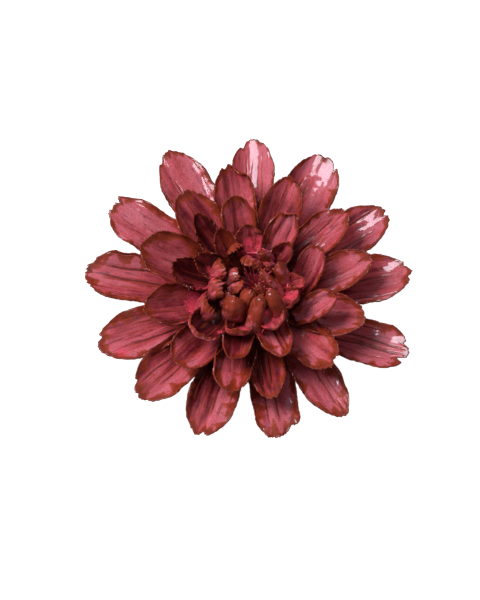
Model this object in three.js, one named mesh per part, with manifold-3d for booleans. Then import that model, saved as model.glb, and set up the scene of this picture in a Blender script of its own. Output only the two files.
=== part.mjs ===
// A glazed ceramic dahlia: one fired piece, built by hand from thin clay petals luted in rows round a domed
// core, with a flat foot under it. It lies on the foot.
// Millimetres. +Z is up through the heart of the flower, and the origin is the middle of the foot's flat face.
import * as THREE from "three";
import { mergeVertices } from "three/addons/utils/BufferGeometryUtils.js";
import Module from "manifold-3d";

// Core and foot
const FOOT_RADIUS = 23;
const CORE_RADIUS = 25.5;
const HEART_FLOOR = 15.5;
const CORE_SIDES = 20;

// Petals
const CLAY_MIDDLE = 1.35; // thickness along a petal's midrib
const CLAY_RIM = 0.85; // and at its pinched rim
const WAVE = 0.4; // how far a petal's face waves at the tip
const WAVE_WIDTH = 18; // the petal width that this wave belongs to
const TIP_TAPER = 0.14; // share of the width that is lost again towards the tip
const NOTCH_REACH = 0.17; // half of a notch, as a share of half the petal
const GOLDEN = 0.618034; // spreads the small differences between petals

// Tuft of stamens in the heart
const STAMENS = 7;
const STAMEN_ROOT_Z = 15;
const STAMEN_LENGTH = 12;
const STAMEN_RADIUS = 0.62;
const STAMEN_TAPER = 0.5;
const STAMEN_LEAN = 0.3;
const STAMEN_SPREAD = 1.5;
const STAMEN_SIDES = 5;
const HEART_MIDDLE = [0.8, -1.9];

const MELD = 0.18; // edges shorter than this are melted away where petals meet

// What the petals of a row share. root: where the midrib starts, as radius and height. height: the tip's.
// rises: the midrib's slope in degrees at root and tip. cups: half the arc across the petal there, in degrees.
// claw: the root's width as a share of the widest. widest: how far along that is. blunt: how much of the length
// rounds off at the tip. cells: facets across and along.
const ROWS = {
  outer: {
    root: [16, 5.5],
    height: 13,
    rises: [4, 10],
    cups: [62, 20],
    claw: 0.4,
    widest: 0.66,
    blunt: 0.3,
    cells: [6, 5],
  },
  second: {
    root: [9, 9],
    height: 22,
    rises: [14, 32],
    cups: [62, 36],
    claw: 0.42,
    widest: 0.62,
    blunt: 0.34,
    cells: [6, 4],
  },
  third: {
    root: [6, 13],
    height: 28,
    rises: [34, 52],
    cups: [60, 46],
    claw: 0.5,
    widest: 0.6,
    blunt: 0.36,
    cells: [4, 4],
  },
  inner: {
    root: [6, 16],
    height: 30,
    rises: [52, 70],
    cups: [60, 55],
    claw: 0.6,
    widest: 0.6,
    blunt: 0.4,
    cells: [4, 3],
  },
  hood: {
    reach: 0,
    height: 31,
    rises: [80, 180],
    cups: [55, 70],
    claw: 0.7,
    widest: 0.5,
    blunt: 0.4,
    cells: [4, 4],
  },
};

// The petals of each row, by heading in degrees anticlockwise from +X. reach: the tip's distance out along the
// heading. shift: how far the midrib stands to the left of the heading. notches: cuts in the tip, as place
// across (-1 to 1, left is +) and depth. middle: where the heading and its radii start; a hood's lies under its
// lip, so its reach is nought. Anything else stands in for the row's own value.
const PETALS = {
  outer: [
    { heading: 89, reach: 62.5, width: 15.5, cups: [62, 34], notches: [[0.5, 1.4]] },
    { heading: 60, reach: 62.5, width: 20, notches: [[-0.55, 2.6]] },
    { heading: 29, reach: 61, width: 18, notches: [[0, 1.6]] },
    { heading: 5, reach: 61.5, width: 19.5, height: 12, notches: [[-0.15, 1.2]] },
    { heading: -19, reach: 63.5, width: 18.5, height: 11, shift: -4.5, notches: [[0.4, 1.6], [-0.35, 2.4]] },
    { heading: -57, reach: 60.5, width: 17.5, height: 12, blunt: 0.42 },
    { heading: -81, reach: 59.5, width: 18.5, height: 12, shift: 0.5, blunt: 0.24, notches: [[0.5, 1.8]] },
    { heading: -109, reach: 61, width: 20, height: 12, notches: [[0.2, 1.2]] },
    { heading: -134, reach: 61.5, width: 18.5, shift: -0.5, notches: [[-0.5, 2.2]] },
    { heading: -158, reach: 62.5, width: 19.5, height: 12, shift: 1.5, notches: [[-0.35, 1.6]] },
    { heading: 175, reach: 64.5, width: 21, blunt: 0.26, notches: [[-0.5, 1]] },
    { heading: 149, reach: 64, width: 19.5, height: 14, blunt: 0.26, notches: [[-0.5, 3.4]] },
    { heading: 120, reach: 65, width: 19.5, notches: [[0.35, 1.4]] },
  ],
  second: [
    { heading: 124, reach: 45, width: 19.5, shift: 2.5 },
    { heading: 100, reach: 46.5, width: 16.5, notches: [[0.2, 1.4]] },
    { heading: 70, reach: 45, width: 17.5 },
    { heading: 37, reach: 46, width: 17, rises: [14, 28], notches: [[0.1, 0.9]] },
    { heading: 15, reach: 45, width: 16.5, height: 21, rises: [14, 28] },
    { heading: -9, reach: 43.5, width: 16.5, height: 21, rises: [14, 28], shift: -3.5 },
    { heading: -48, reach: 44.5, width: 17.5, height: 21, rises: [14, 26] },
    { heading: -81, reach: 46.5, width: 15, height: 20, rises: [14, 24], notches: [[0.1, 1.2]] },
    { heading: -102, reach: 43, width: 17.5, cups: [62, 44] },
    { heading: -130, reach: 43.5, width: 19, cups: [62, 44] },
    { heading: -163, reach: 42.5, width: 19.5, height: 23, cups: [62, 44] },
    { heading: 162, reach: 44.5, width: 22, height: 24 },
  ],
  third: [
    { heading: 128, reach: 31.5, width: 10.5, height: 30, rises: [34, 66], roll: -18, shift: 1.8 },
    { heading: 101, reach: 33, width: 15.5, shift: 0.8 },
    { heading: 63, reach: 29.5, width: 13.5, shift: -1.6 },
    { heading: 23, reach: 29.5, width: 13.5, height: 27 },
    { heading: -8, reach: 31, width: 12, height: 26, rises: [34, 42], shift: -3 },
    { heading: -69, reach: 32.5, width: 14.5, height: 26, cups: [60, 62] },
    { heading: -100, reach: 33, width: 15, height: 26, shift: -1.2, cups: [60, 72] },
    { heading: -133, reach: 30.5, width: 17, height: 28.5, rises: [40, 84], cups: [60, 66] },
    { heading: 175, reach: 30, width: 13.5, height: 31, rises: [34, 72] },
  ],
  inner: [
    { heading: 120, reach: 21.5, width: 10, shift: 2.2, cups: [60, 64] },
    { heading: 91, reach: 20, width: 11.5, height: 29, shift: 1.2, cups: [60, 42], blunt: 0.3 },
    { heading: 38, reach: 18.5, width: 9, height: 29.5 },
    { heading: 164, reach: 22, width: 12.5, height: 30, cups: [60, 66] },
    { heading: -8, reach: 19.5, width: 7.5, height: 29.5, cups: [60, 92] },
    { heading: -32, reach: 18.5, width: 11, rises: [52, 98] },
    { heading: -65, reach: 22.5, width: 12.5, height: 28.5, rises: [50, 66], roll: 12 },
    {
      heading: -101, reach: 22.5, width: 13, shift: -1.6, root: [8, 13], height: 28.5, rises: [40, 96],
      cups: [60, 72],
    },
  ],
  hood: [
    {
      heading: 120, middle: [-5.2, 8.1], root: [3.2, 17], width: 7.5, height: 30, rises: [92, 150],
      cups: [70, 96],
    },
    {
      heading: 65, middle: [-3.2, 1.7], root: [5.8, 15], width: 6.4, height: 29, rises: [80, 168],
      cells: [4, 3],
    },
    {
      heading: 180, middle: [-3.5, -0.1], root: [6, 15], width: 5.7, height: 28.5,
      rises: [78, 162], cells: [4, 3],
    },
    {
      heading: 200, middle: [-8.9, 3.5], root: [5.5, 14], width: 8, height: 30, rises: [86, 140],
      cups: [40, 70],
    },
    {
      heading: 199, middle: [-9.9, -3.5], root: [6, 14], width: 7.8, height: 29.3,
      rises: [84, 146], cups: [30, 62], blunt: 0.6,
    },
    {
      heading: 168, middle: [-2.3, -4.7], root: [5.4, 15], width: 5.4, height: 28,
      rises: [78, 160], cells: [4, 3],
    },
    {
      heading: 205, middle: [-6.9, -7], root: [4.5, 15], width: 5.4, height: 27.5,
      rises: [80, 172], cells: [4, 3],
    },
    {
      heading: -98, middle: [-6.6, -9.2], root: [6.6, 14], width: 9.4, height: 30.2,
      rises: [88, 188], cups: [50, 60], blunt: 0.14, claw: 0.9, widest: 0.4,
    },
    {
      heading: -118, middle: [-0.4, -6.2], root: [7.2, 14], width: 6.4, height: 29.3,
      rises: [82, 180], cells: [4, 3],
    },
    {
      heading: -106, middle: [3.2, -8.5], root: [11.6, 12.5], width: 7, height: 30.6,
      rises: [66, 178], cups: [62, 74], claw: 0.75,
    },
    {
      heading: -55, middle: [5.8, -6.9], root: [9.8, 13], width: 7.8, height: 31, rises: [80, 180],
      cups: [66, 76], claw: 0.8,
    },
    {
      heading: -56, middle: [1.4, -3.8], root: [7, 15], width: 4.8, height: 28, rises: [76, 172],
      cells: [4, 3],
    },
    {
      heading: -54, middle: [8.9, 4.2], root: [8.5, 13], width: 6.4, height: 29.6,
      rises: [78, 160], cups: [60, 80], cells: [4, 3],
    },
    {
      heading: -35, middle: [2.4, 0.7], root: [11.6, 13], width: 5.2, height: 28.8,
      rises: [66, 174], cups: [60, 72], claw: 0.6,
    },
    { heading: 40, middle: [0, 2.5], root: [5, 15], width: 5.2, height: 29, rises: [82, 162], cells: [4, 3] },
    {
      heading: 28, middle: [4.4, 3.2], root: [4.5, 15], width: 5.4, height: 28.2, rises: [82, 152],
      cells: [4, 3],
    },
    {
      heading: 10, middle: [2, 8], root: [5.4, 15], width: 5.4, height: 29.4, rises: [82, 164],
      cells: [4, 3],
    },
    {
      heading: 206, middle: [-16.4, -11.2], root: [4, 12], width: 12, height: 28.5,
      rises: [70, 104], cups: [60, 64], blunt: 0.3,
    },
  ],
};

const PLAIN_PETAL = { middle: [0, 0], roll: 0, shift: 0, notches: [] };

const GLAZE = new THREE.MeshStandardMaterial({ color: 0x9c434b, roughness: 0.22, metalness: 0 });

const wasm = await Module();
wasm.setup();

const radians = THREE.MathUtils.degToRad;

// The midrib in the petal's own upright plane: a cubic from root to tip that leaves each at its own slope.
function midrib(petal) {
  const start = new THREE.Vector2(...petal.root);
  const end = new THREE.Vector2(petal.reach, petal.height);
  const pull = 0.4 * start.distanceTo(end);
  const [rootRise, tipRise] = petal.rises.map(radians);
  const leave = new THREE.Vector2(Math.cos(rootRise), Math.sin(rootRise)).multiplyScalar(pull).add(start);
  const arrive = new THREE.Vector2(Math.cos(tipRise), Math.sin(tipRise)).multiplyScalar(-pull).add(end);
  return new THREE.CubicBezierCurve(start, leave, arrive, end);
}

// How far along the midrib the petal ends at u across it: a round tip, less its notches.
function tipShare(petal, u, length) {
  const round = 1 - petal.blunt * (1 - Math.sqrt(Math.max(0, 1 - u * u)));
  const cuts = petal.notches.map(([place, depth]) => depth * Math.max(0, 1 - Math.abs(u - place) / NOTCH_REACH));
  return round - cuts.reduce((sum, cut) => sum + cut, 0) / length;
}

// Half the petal's width at a share of its length: a quarter sine out from the claw, then slightly in.
function halfWidth(petal, share) {
  const out = Math.sin((Math.PI / 2) * Math.min(share / petal.widest, 1));
  const end = Math.max(0, (share - petal.widest) / (1 - petal.widest));
  return (petal.width / 2) * (petal.claw + (1 - petal.claw) * out) * (1 - TIP_TAPER * end * end);
}

// A point on the petal's upper face and the way that face looks. Across, the petal is an arc, and towards the
// tip it waves a little, each petal in its own way.
function surfaceAt(petal, rib, u, v) {
  const share = v * tipShare(petal, u, rib.getLength());
  const at = rib.getPoint(share);
  const along = rib.getTangent(THREE.MathUtils.clamp(share, 0.001, 0.999));
  const cup = radians(THREE.MathUtils.lerp(petal.cups[0], petal.cups[1], share));
  const radius = halfWidth(petal, share) / cup;
  const roll = radians(petal.roll);
  const wave = WAVE * (petal.width / WAVE_WIDTH) * share * share * Math.sin(2.6 * u + 2 * Math.PI * petal.phase);
  const x = radius * Math.sin(cup * u);
  const y = radius * (1 - Math.cos(cup * u)) + wave;
  const side = x * Math.cos(roll) - y * Math.sin(roll) + petal.shift;
  const lift = x * Math.sin(roll) + y * Math.cos(roll);
  const turn = cup * u + roll;
  const heading = radians(petal.heading);
  const turned = (forward, left, up) => {
    const x3 = forward * Math.cos(heading) - left * Math.sin(heading);
    const y3 = forward * Math.sin(heading) + left * Math.cos(heading);
    return new THREE.Vector3(x3, y3, up);
  };
  const middle = new THREE.Vector3(...petal.middle, 0);
  return {
    point: turned(at.x - along.y * lift, side, at.y + along.x * lift).add(middle),
    normal: turned(-along.y * Math.cos(turn), -Math.sin(turn), along.x * Math.cos(turn)),
  };
}

// The lines across a petal, closer at its edges, each notch on the line nearest to it.
function linesAcross(petal, cells) {
  const lines = Array.from({ length: cells + 1 }, (_, i) => Math.sin(Math.PI * (i / cells - 0.5)));
  for (const [place] of petal.notches) {
    const gap = (i) => Math.abs(lines[i] - place);
    let nearest = 1;
    for (let i = 2; i < cells; i++) if (gap(i) < gap(nearest)) nearest = i;
    lines[nearest] = place;
  }
  return lines;
}

// One petal as a closed shell: an upper and a lower face on the same grid, joined round the rim.
function petalGeometry(petal) {
  const rib = midrib(petal);
  const [across, along] = petal.cells;
  const lines = linesAcross(petal, across);
  const upper = [];
  const lower = [];
  for (let row = 0; row <= along; row++) {
    for (const u of lines) {
      const { point, normal } = surfaceAt(petal, rib, u, row / along);
      const inside = row === along ? 0 : 1 - u * u;
      upper.push(point);
      lower.push(point.clone().addScaledVector(normal, -THREE.MathUtils.lerp(CLAY_RIM, CLAY_MIDDLE, inside)));
    }
  }
  const width = across + 1;
  const under = upper.length;
  const faces = [];
  for (let row = 0; row < along; row++) {
    for (let i = 0; i < across; i++) {
      const a = row * width + i;
      const b = a + width;
      faces.push(a, b, b + 1, a, b + 1, a + 1);
      faces.push(under + a, under + b + 1, under + b, under + a, under + a + 1, under + b + 1);
    }
  }
  const rim = [];
  for (let i = 0; i < across; i++) rim.push(i);
  for (let row = 0; row < along; row++) rim.push(row * width + across);
  for (let i = across; i > 0; i--) rim.push(along * width + i);
  for (let row = along; row > 0; row--) rim.push(row * width);
  rim.forEach((a, i) => {
    const b = rim[(i + 1) % rim.length];
    faces.push(a, b, under + b, a, under + b, under + a);
  });
  const geometry = new THREE.BufferGeometry();
  const points = [...upper, ...lower].flatMap((point) => point.toArray());
  geometry.setAttribute("position", new THREE.Float32BufferAttribute(points, 3));
  geometry.setIndex(faces);
  return geometry;
}

// The core that carries every petal: a dome with a flat foot and a hollow in its crown for the heart.
function coreGeometry() {
  const profile = [
    [0, 0],
    [FOOT_RADIUS, 0],
    [FOOT_RADIUS + 1.2, 0.8],
    [CORE_RADIUS, 3.4],
    [CORE_RADIUS - 0.3, 8],
    [CORE_RADIUS - 2, 13],
    [CORE_RADIUS - 5, 17.5],
    [CORE_RADIUS - 9, 20],
    [12, 20.5],
    [8.5, 18.5],
    [5, 16],
    [0, HEART_FLOOR],
  ];
  const points = profile.map(([radius, z]) => new THREE.Vector2(radius, z));
  return new THREE.LatheGeometry(points, CORE_SIDES).rotateX(Math.PI / 2);
}

// One stamen of the tuft: a thin tapered thread of clay that leans out of the heart.
function stamenGeometry(index) {
  const share = Math.sqrt(index / STAMENS);
  const turn = 2 * Math.PI * GOLDEN * index;
  const geometry = new THREE.CylinderGeometry(
    STAMEN_RADIUS * STAMEN_TAPER,
    STAMEN_RADIUS,
    STAMEN_LENGTH,
    STAMEN_SIDES,
  );
  geometry.translate(0, STAMEN_LENGTH / 2, 0).rotateX(Math.PI / 2);
  geometry.rotateY(STAMEN_LEAN * share).rotateZ(turn);
  const x = HEART_MIDDLE[0] + STAMEN_SPREAD * share * Math.cos(turn);
  const y = HEART_MIDDLE[1] + STAMEN_SPREAD * share * Math.sin(turn);
  return geometry.translate(x, y, STAMEN_ROOT_Z);
}

// A closed geometry as a solid that can be joined.
function solidOf(geometry) {
  const bare = geometry.clone();
  bare.deleteAttribute("normal");
  bare.deleteAttribute("uv");
  const merged = mergeVertices(bare, 1e-4);
  const vertProperties = new Float32Array(merged.attributes.position.array);
  const triVerts = new Uint32Array(merged.index.array);
  return new wasm.Manifold(new wasm.Mesh({ numProp: 3, vertProperties, triVerts }));
}

function geometryOf(solid) {
  const mesh = solid.getMesh();
  const geometry = new THREE.BufferGeometry();
  geometry.setAttribute("position", new THREE.BufferAttribute(mesh.vertProperties, 3));
  geometry.setIndex(new THREE.BufferAttribute(mesh.triVerts, 1));
  geometry.computeVertexNormals();
  return geometry;
}

function petalSolids() {
  return Object.entries(PETALS).flatMap(([row, petals]) =>
    petals.map((own, index) => {
      const phase = ((index + 1) * GOLDEN) % 1;
      return solidOf(petalGeometry({ ...PLAIN_PETAL, phase, ...ROWS[row], ...own }));
    }),
  );
}

// Petals, stamens and core joined. Pockets sealed in between petals are filled, so only the outer skin stays.
function bloomGeometry() {
  const stamens = Array.from({ length: STAMENS }, (_, index) => solidOf(stamenGeometry(index)));
  const pieces = [...petalSolids(), ...stamens];
  const joined = pieces.reduce((sum, piece) => sum.add(piece), solidOf(coreGeometry())).simplify(MELD);
  const skins = joined.decompose().sort((a, b) => b.volume() - a.volume());
  return geometryOf(skins[0]);
}

const dahlia = new THREE.Group();
dahlia.name = "ceramic_dahlia";
const bloom = new THREE.Mesh(bloomGeometry(), GLAZE);
bloom.name = "bloom";
dahlia.add(bloom);

export default dahlia;
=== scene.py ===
"""Glazed ceramic dahlia bloom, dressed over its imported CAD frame.

Sizes are in millimetres and angles in degrees until a mesh goes into Blender, which works in metres. Petals
and hoods stand as in the CAD model to within a few millimetres and degrees, but for two of the third row at
the right, which are turned by 30 to 40 degrees. Each is a sheet of clay over a grid of u, from -1 at the
right edge to 1 at the left one, and v, from 0 at the root to 1 at the tip.
"""

import logging
from dataclasses import dataclass, field, fields, replace
from enum import Enum
from typing import Any

import bpy
import numpy as np
from mathutils import Matrix, Vector
from mathutils.bvhtree import BVHTree


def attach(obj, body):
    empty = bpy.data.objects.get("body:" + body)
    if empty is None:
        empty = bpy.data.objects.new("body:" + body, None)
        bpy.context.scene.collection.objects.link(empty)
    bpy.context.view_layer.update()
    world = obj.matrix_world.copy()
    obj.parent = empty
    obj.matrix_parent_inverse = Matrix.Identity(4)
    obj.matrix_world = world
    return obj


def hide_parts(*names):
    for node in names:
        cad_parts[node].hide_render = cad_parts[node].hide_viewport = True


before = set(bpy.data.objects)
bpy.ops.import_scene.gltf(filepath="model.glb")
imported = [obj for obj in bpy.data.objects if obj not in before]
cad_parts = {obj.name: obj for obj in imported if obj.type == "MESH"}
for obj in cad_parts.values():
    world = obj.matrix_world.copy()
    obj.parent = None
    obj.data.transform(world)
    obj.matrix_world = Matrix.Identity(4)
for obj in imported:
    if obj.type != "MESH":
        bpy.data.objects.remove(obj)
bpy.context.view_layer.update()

Array = np.ndarray
Random = np.random.Generator
Material, Object, Socket = bpy.types.Material, bpy.types.Object, bpy.types.NodeSocket
Pair = tuple[float, float]
Colour = tuple[float, float, float]
Marks = tuple[tuple[float, ...], ...]

log = logging.getLogger("dahlia")

MM = 0.001
GOLDEN = 0.618034
NODE = "bloom"
# The lay attribute's tone channel holds painted shade and painted light as well as the glaze's own paleness
LAY = "glaze_lay_and_painted_shading"
PLAN = "petal_plan"
PLAN_SCALE = 0.01

# The petals' common clay, as in the CAD model
WAVE = 0.4
WAVE_WIDTH = 18.0
TIP_TAPER = 0.14
RIB_PULL = 0.4
CLAY_MIDDLE = 1.2
CLAY_RIM = 0.6
RIM_ROUND = 0.4
NOTCH_HALF = 0.15
FOLD_SPAN = 0.28

# How far the grid's lines crowd towards the tip and the edges
TIP_CROWDING = 1.35
EDGE_CROWDING = 0.65

# What chance gives every petal: how much wider its rust is than asked for, how its small creases lie between
# root and tip, how deep they are, and how far a crease strays
RUST_DRAW = (0.9, 2.3)
CREASE_FIRSTS = (0.1, 0.45)
CREASE_LASTS = (0.62, 0.98)
CREASE_DEPTHS = (0.04, 0.15)
CREASE_LEANS = (0.82, 1.05)
CREASE_SPREAD = 0.78
CREASE_JITTER = 0.12
CREASE_WANDER = 0.022

# How far a web's glaze spreads: what is added to its width, how many such widths its halo has, and the height
# below which there is none
WEB_MARGIN = 0.5
WEB_HALO = 1.3
WEB_FLOOR = 18.0

# Steps in plan from petal to petal and from row to row, so that no two share their streaks
PLAN_STEP = 40.0
ROW_STEP = 7.0

# The core's outline as radius and height, from the foot's middle up to the heart's floor
CORE_OUTLINE = (
    (0.0, 0.0), (23.0, 0.0), (24.2, 0.8), (24.8, 3.0), (23.5, 5.5), (20.0, 7.8), (16.0, 10.2), (12.5, 14.0),
    (10.0, 15.6), (7.5, 16.0), (4.5, 15.2), (0.0, 15.0),
)
CORE_SHADE = 27.0
HEART_MIDDLE = (0.8, -1.9)


class Lay(Enum):
    """What each channel of the glaze's attribute says at a point; the tone also carries painted shade and
    painted light.
    """

    THIN = 0
    POOL = 1
    GROOVE = 2
    TONE = 3


class Edge(Enum):
    """The two long edges of a petal, seen from the heart: the sign of u there."""

    LEFT = 1
    RIGHT = -1


def smooth(low: float, high: float, value: Array) -> Array:
    """Eased step: 3t^2 - 2t^3, where t is how far the value has come from low to high."""
    t = np.clip((value - low) / (high - low), 0.0, 1.0)
    return t * t * (3.0 - 2.0 * t)


def hump(middle: float, half: float, value: Array) -> Array:
    """Round hump: e to the minus square of the distance from its middle, counted in half widths."""
    return np.exp(-(((value - middle) / half) ** 2))


def blend(ends: Pair, share: Array) -> Array:
    """Straight run from the first end to the second."""
    return ends[0] + (ends[1] - ends[0]) * share


def rotated(x: Array, y: Array, angle: Array) -> tuple[Array, Array]:
    """A flat turn: x cos - y sin, and x sin + y cos."""
    return x * np.cos(angle) - y * np.sin(angle), x * np.sin(angle) + y * np.cos(angle)


def unit(vectors: Array) -> Array:
    """Vectors brought to length one: each over its own length."""
    return vectors / np.maximum(np.linalg.norm(vectors, axis=-1, keepdims=True), 1e-12)


def normals(grid: Array) -> Array:
    """Unit normals of a grid of points: the cross product of its steps along v and along u."""
    return unit(np.cross(np.gradient(grid, axis=0), np.gradient(grid, axis=1)))


def quads(grid: Array) -> Array:
    """The four corners of every cell of a grid of point numbers."""
    return np.stack([grid[:-1, :-1], grid[1:, :-1], grid[1:, 1:], grid[:-1, 1:]], -1).reshape(-1, 4)


def circle(sides: int) -> Array:
    """Even turns round a circle, from 0 to just short of 2 pi."""
    return np.linspace(0.0, 2.0 * np.pi, sides, endpoint=False)


def evened(values: Array) -> Array:
    """The moving mean of seven neighbours."""
    return np.convolve(np.pad(values, 3, "edge"), np.ones(7) / 7, "valid")


class Ripple:
    """A smooth chance line: the mean of a few sines whose wave lengths lie between two limits."""

    def __init__(self, rng: Random, shortest: float, longest: float, count: int = 7) -> None:
        """Draws the sines' rates, then their phases."""
        self.rates = 2.0 * np.pi / rng.uniform(shortest, longest, count)
        self.phases = rng.uniform(0.0, 2.0 * np.pi, count)

    def __call__(self, place: Array) -> Array:
        """Sum of sin(rate x place + phase) over the drawn sines, mostly between -1 and 1."""
        waves = np.sin(np.asarray(place)[..., None] * self.rates + self.phases)
        return 1.12 / np.sqrt(len(self.rates)) * waves.sum(-1)


class Lumps(Ripple):
    """A smooth chance surface: a ripple whose sines' crests run every which way."""

    def __init__(self, rng: Random, shortest: float, longest: float) -> None:
        """Draws the ways of 14 sines, then their rates and phases."""
        self.turns = rng.uniform(0.0, np.pi, 14)
        super().__init__(rng, shortest, longest, 14)

    def __call__(self, across: Array, along: Array) -> Array:
        """Sum of sin(rate x place along the sine's way + phase), mostly between -1 and 1."""
        turned = across[..., None] * np.cos(self.turns) + along[..., None] * np.sin(self.turns)
        return 1.1 / np.sqrt(len(self.phases)) * np.sin(turned * self.rates + self.phases).sum(-1)


@dataclass
class Skin:
    """A closed mesh in the making: points, faces, and each point's lay of the glaze, painted shade and light
    included, and place in plan.
    """

    points: Array
    faces: list[Array]
    lay: Array
    plan: Array

    @staticmethod
    def wrapped(rings: Array, first: Array, last: Array, lay: tuple[float, ...]) -> "Skin":
        """Closes a stack of rings: quads between neighbours, and a fan of triangles to a pole at each end.

        Args:
            rings: points, one row for each ring, anticlockwise as seen from the last pole.
            first: the pole before the first ring.
            last: the pole after the last ring.
            lay: how the glaze lies on all of it.

        Returns:
            The closed skin.
        """
        count, sides, _ = rings.shape
        points = np.concatenate([first[None], rings.reshape(-1, 3), last[None]])
        here = 1 + np.arange(count * sides).reshape(count, sides)
        here = np.column_stack([here, here[:, 0]])
        start = np.stack([np.zeros(sides, int), here[0, 1:], here[0, :-1]], -1)
        end = np.stack([np.full(sides, len(points) - 1), here[-1, :-1], here[-1, 1:]], -1)
        faces = [quads(here)[:, [0, 3, 2, 1]], start, end]
        return Skin(points, faces, np.tile(lay, (len(points), 1)), points[:, :2].copy())

    @staticmethod
    def joined(skins: list["Skin"]) -> "Skin":
        """Several skins as one, each one's faces counted on from the points before it.

        Args:
            skins: the skins to put together.

        Returns:
            One skin that holds them all.
        """
        starts = np.cumsum([0] + [len(skin.points) for skin in skins])
        faces = [part + start for skin, start in zip(skins, starts) for part in skin.faces]
        keys = ("points", "lay", "plan")
        points, lay, plan = (np.concatenate([getattr(skin, key) for skin in skins]) for key in keys)
        return Skin(points, faces, lay, plan)

    def piece(self, name: str, material: Material) -> Object:
        """Puts the skin into Blender as a smooth-shaded piece of the bloom.

        Args:
            name: the piece's name.
            material: its finish.

        Returns:
            The new object, which rides on the root body and stands for the CAD bloom.
        """
        mesh = bpy.data.meshes.new(name)
        corners = np.concatenate([part.ravel() for part in self.faces])
        counts = np.concatenate([np.full(len(part), part.shape[1]) for part in self.faces])
        mesh.vertices.add(len(self.points))
        mesh.vertices.foreach_set("co", (self.points * MM).astype(np.float32).ravel())
        mesh.loops.add(len(corners))
        mesh.loops.foreach_set("vertex_index", corners.astype(np.int32))
        mesh.polygons.add(len(counts))
        mesh.polygons.foreach_set("loop_start", (np.cumsum(counts) - counts).astype(np.int32))
        plan = mesh.uv_layers.new(name=PLAN)
        plan.data.foreach_set("uv", (self.plan * PLAN_SCALE)[corners].astype(np.float32).ravel())
        lay = mesh.color_attributes.new(name=LAY, type="FLOAT_COLOR", domain="POINT")
        lay.data.foreach_set("color", np.clip(self.lay, 0.0, 1.0).astype(np.float32).ravel())
        mesh.update(calc_edges=True)
        mesh.validate()
        mesh.shade_smooth()
        mesh.materials.append(material)
        piece = bpy.data.objects.new(name, mesh)
        bpy.context.scene.collection.objects.link(piece)
        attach(piece, "root")
        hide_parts(NODE)
        return piece


@dataclass(frozen=True)
class Petal:
    """One petal: its place and form from the CAD model, then the marks that its maker left on it.

    It runs from its root to its reach and height, as radius and height round its middle. Rises, the slopes of
    the midrib, and cups, the bend across it, are angles at root and tip. Claw is the width at the root as a
    share of the whole, widest the share of the length where it is full, blunt how far the tip's corners fall
    back. Incurve bounds the turn of the edges.

    A notch is its place across, its depth and half its width in u. A curl rolls part of the tip: place
    across, half its width in u, length and angle. A fold turns an edge: place across, angle, and the shares
    of the length that it runs between. A crease is its places across at root and tip, the shares that it
    runs between, and its depth; lines counts the small ones. A blush is a patch of pooled glaze: place
    across, share of the length, size and strength. Rust is its width at the left and the right edge.

    Tone is how pale the glaze is, and it carries painted shade and painted light too: lean adds to it towards
    the left edge, painting one side lighter and the other darker, depth takes from it towards the root as
    painted shade, and adds painted light there where it is below nought, and the inner shade takes painted
    shade from the whole upper face. Back is how far the lower face is worn to rust.
    """

    heading: float = 0.0
    reach: float = 0.0
    width: float = 0.0
    height: float = 13.0
    rises: Pair = (4.0, 10.0)
    cups: Pair = (62.0, 20.0)
    root: Pair = (16.0, 5.5)
    middle: Pair = (0.0, 0.0)
    claw: float = 0.4
    widest: float = 0.66
    blunt: float = 0.3
    roll: float = 0.0
    shift: float = 0.0
    incurve: Pair = (-8.0, 34.0)
    flutter: float = 0.45
    notches: Marks = ()
    curls: Marks = ()
    folds: Marks = ()
    creases: Marks = ()
    lines: int = 5
    ribs: float = 0.2
    lumps: float = 0.015
    ragged: float = 0.2
    sawn: float = 0.0
    rust: Pair = (1.5, 1.5)
    blushes: Marks = ()
    # Tone, lean, depth and the inner shade paint shade and light into the glaze's colour
    tone: float = 0.55
    lean: float = 0.0
    depth: float = 0.46
    inside: float = 0.0
    back: float = 0.25

    def at(self, *place: Any, **own: Any) -> "Petal":
        """This form with its first fields given in their order, and others of the petal's own by name."""
        return replace(self, **dict(zip((part.name for part in fields(self)), place)), **own)

    def rib(self, share: Array) -> tuple[Array, Array]:
        """The midrib: a cubic Bezier in the petal's upright plane that leaves each end at its own slope.

        Args:
            share: how far along it, from 0 to 1.

        Returns:
            The points, as radius and height, and the unit direction of travel at each.
        """
        start, end = np.array(self.root), np.array((self.reach, self.height))
        slopes = np.radians(self.rises)
        pull = RIB_PULL * np.linalg.norm(end - start) * np.stack([np.cos(slopes), np.sin(slopes)], -1)
        leave, arrive = start + pull[0], end - pull[1]
        t = share[..., None]
        r = 1.0 - t
        at = r**3 * start + 3 * r * r * t * leave + 3 * r * t * t * arrive + t**3 * end
        along = r * r * (leave - start) + 2 * r * t * (arrive - leave) + t * t * (end - arrive)
        return at, unit(along)

    def bends(self, u: Array, share: Array) -> list[tuple[Array, Array, float]]:
        """Where the folds act: each is eased in at its first share and out at its last one.

        Args:
            u: places across.
            share: shares of the length.

        Returns:
            For each fold its share of its turn, its ridge, a hump in the middle of its span, and its angle.
        """
        found = []
        for place, angle, first, last in self.folds:
            window = smooth(first, first + 0.2, share) * (1.0 - smooth(last, last + 0.15, share))
            off = np.sign(place) * u - abs(place)
            turned = np.sign(place) * smooth(0.0, FOLD_SPAN, off) * window
            found.append((turned, hump(0.5 * FOLD_SPAN, 0.45 * FOLD_SPAN, off) * window, angle))
        return found


@dataclass(frozen=True)
class Web:
    """A run of crimson glaze over the petals: its path in plan, and how wide it is at both ends."""

    path: tuple[Pair, ...]
    wide: Pair = (0.7, 0.25)


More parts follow.
